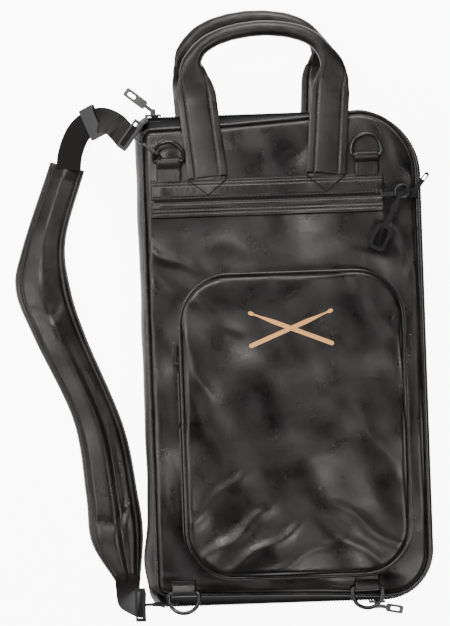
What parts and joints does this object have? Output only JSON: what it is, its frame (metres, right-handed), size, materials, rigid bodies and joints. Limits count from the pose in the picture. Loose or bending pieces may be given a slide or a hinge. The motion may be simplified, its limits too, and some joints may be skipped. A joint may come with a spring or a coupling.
{
  "type": "drum stick bag",
  "caption": "Leather drum stick bag that opens like a book on a three-sided zip, with carry handles, a front pocket, a slash pocket, D-rings and a padded shoulder strap.",
  "frame": {"origin": "on the rear panel's flat resting face, under the middle of the case", "axes": "+Z out of the front panel, +Y along the case towards the carry handles, +X to the right seen from the front; the book spine is on the -X side"},
  "size_m": [0.4105, 0.5967, 0.075],
  "materials": {
    "leather": "soft satin grain",
    "pad_leather": "soft satin grain",
    "piping": "satin",
    "zip_tape": "matte woven tape",
    "zip_coil": "matte nylon coil",
    "lining": "matte woven nylon",
    "webbing": "ribbed webbing",
    "black_metal": "black lacquer, satin"
  },
  "bodies": {
    "rear_case": {"rear_shell": "leather", "rear_piping": "piping", "rear_zip_tape": "zip_tape", "rear_zip_coil": "zip_coil", "spine_gusset_rear": "leather", "spine_fold": "leather", "rear_band": "leather", "rear_handle_tips": "leather", "sleeves_long": "lining", "sleeves_short": "lining"},
    "front_case": {"front_shell": "leather", "front_piping": "piping", "front_zip_tape": "zip_tape", "front_zip_coil": "zip_coil", "spine_gusset_front": "leather", "band_upper": "leather", "band_lower": "leather", "front_handle_tips": "leather", "slash_zip": "zip_coil", "dring_tabs": "leather", "pocket_wall": "leather", "pocket_panel": "leather", "pocket_piping": "piping", "pocket_zip": "zip_coil", "gusset_piping": "piping", "inner_pocket": "lining"},
    "front_handle": {"front_handle": "leather"},
    "rear_handle": {"rear_handle": "leather"},
    "pocket_flap": {"pocket_flap": "leather", "flap_piping": "piping", "flap_zip": "zip_coil"},
    "strap": {"shoulder_pad": "pad_leather", "strap_webbing": "webbing", "strap_adjuster": "black_metal", "upper_snap": "black_metal", "lower_snap": "black_metal", "lower_loop": "webbing"},
    "upper_gate": {"upper_gate": "black_metal"},
    "lower_gate": {"lower_gate": "black_metal"},
    "key_snap": {"key_ring": "black_metal", "key_snap": "black_metal"},
    "key_gate": {"key_gate": "black_metal"},
    "dring_top_left": {"dring_top_left": "black_metal"},
    "dring_top_right": {"dring_top_right": "black_metal"},
    "dring_bottom_left": {"dring_bottom_left": "black_metal"},
    "dring_bottom_right": {"dring_bottom_right": "black_metal"},
    "top_slider": {"top_slider": "black_metal"},
    "top_pull": {"top_pull": "black_metal"},
    "corner_slider": {"corner_slider": "black_metal"},
    "corner_pull": {"corner_pull": "black_metal"},
    "slash_slider": {"slash_slider": "black_metal"},
    "slash_pull": {"slash_pull": "black_metal"},
    "pocket_slider_left": {"pocket_slider_left": "black_metal"},
    "pocket_pull_left": {"pocket_pull_left": "black_metal"},
    "pocket_slider_right": {"pocket_slider_right": "black_metal"},
    "pocket_pull_right": {"pocket_pull_right": "black_metal"}
  },
  "joints": [
    {"name": "book_open", "type": "hinge", "parent": "rear_case", "child": "front_case", "pos_m": [-0.14, 0, 0.027], "axis": [0, -1, 0], "range_deg": [0, 180], "deforming": ["spine_fold"]},
    {"name": "strap_swing", "type": "hinge", "parent": "front_case", "child": "strap", "pos_m": [-0.1213, 0, 0.0624], "axis": [0, -1, 0], "range_deg": [-83, 0]},
    {"name": "front_handle_swing", "type": "hinge", "parent": "front_case", "child": "front_handle", "pos_m": [0, 0.177, 0.0574], "axis": [1, 0, 0], "range_deg": [0, 120]},
    {"name": "rear_handle_swing", "type": "hinge", "parent": "rear_case", "child": "rear_handle", "pos_m": [0, 0.177, 0.0015], "axis": [-1, 0, 0], "range_deg": [0, 150]},
    {"name": "pocket_flap_fold", "type": "hinge", "parent": "front_case", "child": "pocket_flap", "pos_m": [0.006, 0.006, 0.0752], "axis": [1, 0, 0], "range_deg": [0, 75]},
    {"name": "dring_top_left_tip", "type": "hinge", "parent": "front_case", "child": "dring_top_left", "pos_m": [-0.1075, 0.195, 0.0576], "axis": [1, 0, 0], "range_deg": [-1.5, 0]},
    {"name": "dring_bottom_left_tip", "type": "hinge", "parent": "front_case", "child": "dring_bottom_left", "pos_m": [-0.107, -0.224, 0.0576], "axis": [-1, 0, 0], "range_deg": [-2, 3]},
    {"name": "dring_top_right_tip", "type": "hinge", "parent": "front_case", "child": "dring_top_right", "pos_m": [0.0845, 0.195, 0.0576], "axis": [1, 0, 0], "range_deg": [0, 150]},
    {"name": "dring_bottom_right_tip", "type": "hinge", "parent": "front_case", "child": "dring_bottom_right", "pos_m": [0.0708, -0.224, 0.0576], "axis": [-1, 0, 0], "range_deg": [0, 120]},
    {"name": "top_slide", "type": "slide", "parent": "rear_case", "child": "top_slider", "axis": [1, 0, 0], "range_m": [0, 0.185]},
    {"name": "top_pull_turn", "type": "hinge", "parent": "top_slider", "child": "top_pull", "pos_m": [-0.122, 0.247, 0.027], "axis": [0, 0, 1], "range_deg": [-136, 8]},
    {"name": "corner_slide", "type": "slide", "parent": "rear_case", "child": "corner_slider", "axis": [-1, 0, 0], "range_m": [0, 0.19]},
    {"name": "corner_pull_turn", "type": "hinge", "parent": "corner_slider", "child": "corner_pull", "pos_m": [0.082, -0.247, 0.027], "axis": [0, 0, 1], "range_deg": [-160, 8]},
    {"name": "slash_slide", "type": "slide", "parent": "front_case", "child": "slash_slider", "axis": [-1, 0, 0], "range_m": [0, 0.235]},
    {"name": "slash_pull_turn", "type": "hinge", "parent": "slash_slider", "child": "slash_pull", "pos_m": [0.128, 0.156, 0.0592], "axis": [0, 0, 1], "range_deg": [-50, 12]},
    {"name": "pocket_slide_left", "type": "slide", "parent": "front_case", "child": "pocket_slider_left", "axis": [0, 1, 0], "range_m": [0, 0.025]},
    {"name": "pocket_pull_left_tip", "type": "hinge", "parent": "pocket_slider_left", "child": "pocket_pull_left", "pos_m": [-0.1082, -0.0015, 0.0645], "axis": [1, 0, 0], "range_deg": [0, 170]},
    {"name": "pocket_slide_right", "type": "slide", "parent": "front_case", "child": "pocket_slider_right", "axis": [0, 1, 0], "range_m": [0, 0.025]},
    {"name": "pocket_pull_right_tip", "type": "hinge", "parent": "pocket_slider_right", "child": "pocket_pull_right", "pos_m": [0.1202, -0.0015, 0.0645], "axis": [1, 0, 0], "range_deg": [0, 170]},
    {"name": "key_snap_swing", "type": "hinge", "parent": "slash_slider", "child": "key_snap", "pos_m": [0.1233, 0.158, 0.0629], "axis": [0, 1, 0], "range_deg": [0, 60]},
    {"name": "key_gate_press", "type": "hinge", "parent": "key_snap", "child": "key_gate", "pos_m": [0.1039, 0.1169, 0.0629], "axis": [0, 0, -1], "range_deg": [0, 18], "stiffness_Nm_per_rad": 0.02},
    {"name": "upper_gate_press", "type": "hinge", "parent": "strap", "child": "upper_gate", "pos_m": [-0.131, 0.2117, 0.056], "axis": [-0.6, -0.8, 0], "range_deg": [0, 15], "stiffness_Nm_per_rad": 0.02},
    {"name": "lower_gate_press", "type": "hinge", "parent": "strap", "child": "lower_gate", "pos_m": [-0.1334, -0.2328, 0.056], "axis": [0, -1, 0], "range_deg": [0, 15], "stiffness_Nm_per_rad": 0.02}
  ],
  "couplings": [
    {"joint": "strap_swing", "follows": "book_open", "ratio": -0.46}
  ]
}
